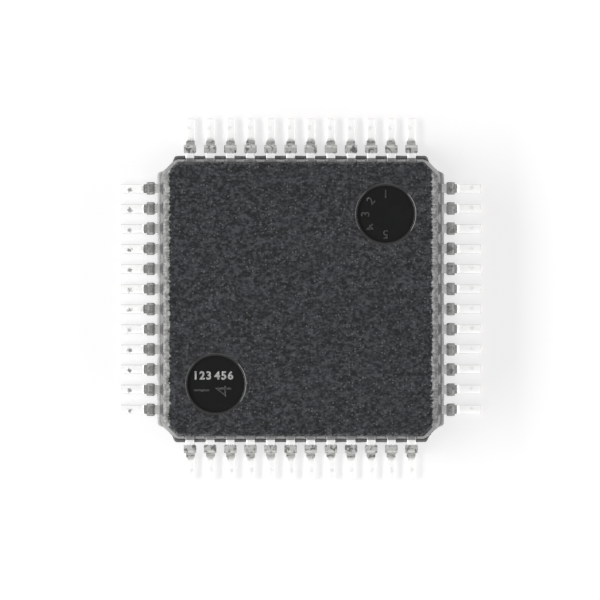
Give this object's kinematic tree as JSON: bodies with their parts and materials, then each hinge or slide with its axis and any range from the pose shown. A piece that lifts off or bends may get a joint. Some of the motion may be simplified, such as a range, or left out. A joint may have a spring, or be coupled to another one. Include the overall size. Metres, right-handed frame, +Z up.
{
  "type": "quad flat pack chip",
  "caption": "Low-profile moulded chip package with gull-wing leads on all four sides, for surface mounting on a circuit board.",
  "frame": {"origin": "centre of the package on the seating plane, level with the undersides of the lead feet", "axes": "+Z up through the marked top face, +Y towards the side with lead_25 to lead_36, +X towards the side with lead_13 to lead_24; lead_01 is at the -X end of the -Y side and the numbers run anticlockwise seen from above"},
  "size_m": [0.009, 0.009, 0.0015],
  "materials": {
    "mould_compound": "black epoxy with a fine spark-eroded texture",
    "tin_plate": "matte tin plating",
    "leadframe_alloy": "rolled copper alloy",
    "die_adhesive": "cured silver-filled epoxy",
    "silicon": "polished silicon",
    "gold_wire": "bright drawn gold"
  },
  "bodies": {
    "root": {"moulded_body": "mould_compound", "die_paddle": "leadframe_alloy", "die_attach": "die_adhesive", "silicon_die": "silicon", "bond_wires_south": "gold_wire", "bond_wires_east": "gold_wire", "bond_wires_north": "gold_wire", "bond_wires_west": "gold_wire", "lead_01": "tin_plate", "lead_02": "tin_plate", "lead_03": "tin_plate", "lead_04": "tin_plate", "lead_05": "tin_plate", "lead_06": "tin_plate", "lead_07": "tin_plate", "lead_08": "tin_plate", "lead_09": "tin_plate", "lead_10": "tin_plate", "lead_11": "tin_plate", "lead_12": "tin_plate", "lead_13": "tin_plate", "lead_14": "tin_plate", "lead_15": "tin_plate", "lead_16": "tin_plate", "lead_17": "tin_plate", "lead_18": "tin_plate", "lead_19": "tin_plate", "lead_20": "tin_plate", "lead_21": "tin_plate", "lead_22": "tin_plate", "lead_23": "tin_plate", "lead_24": "tin_plate", "lead_25": "tin_plate", "lead_26": "tin_plate", "lead_27": "tin_plate", "lead_28": "tin_plate", "lead_29": "tin_plate", "lead_30": "tin_plate", "lead_31": "tin_plate", "lead_32": "tin_plate", "lead_33": "tin_plate", "lead_34": "tin_plate", "lead_35": "tin_plate", "lead_36": "tin_plate", "lead_37": "tin_plate", "lead_38": "tin_plate", "lead_39": "tin_plate", "lead_40": "tin_plate", "lead_41": "tin_plate", "lead_42": "tin_plate", "lead_43": "tin_plate", "lead_44": "tin_plate", "lead_45": "tin_plate", "lead_46": "tin_plate", "lead_47": "tin_plate", "lead_48": "tin_plate"}
  },
  "joints": []
}
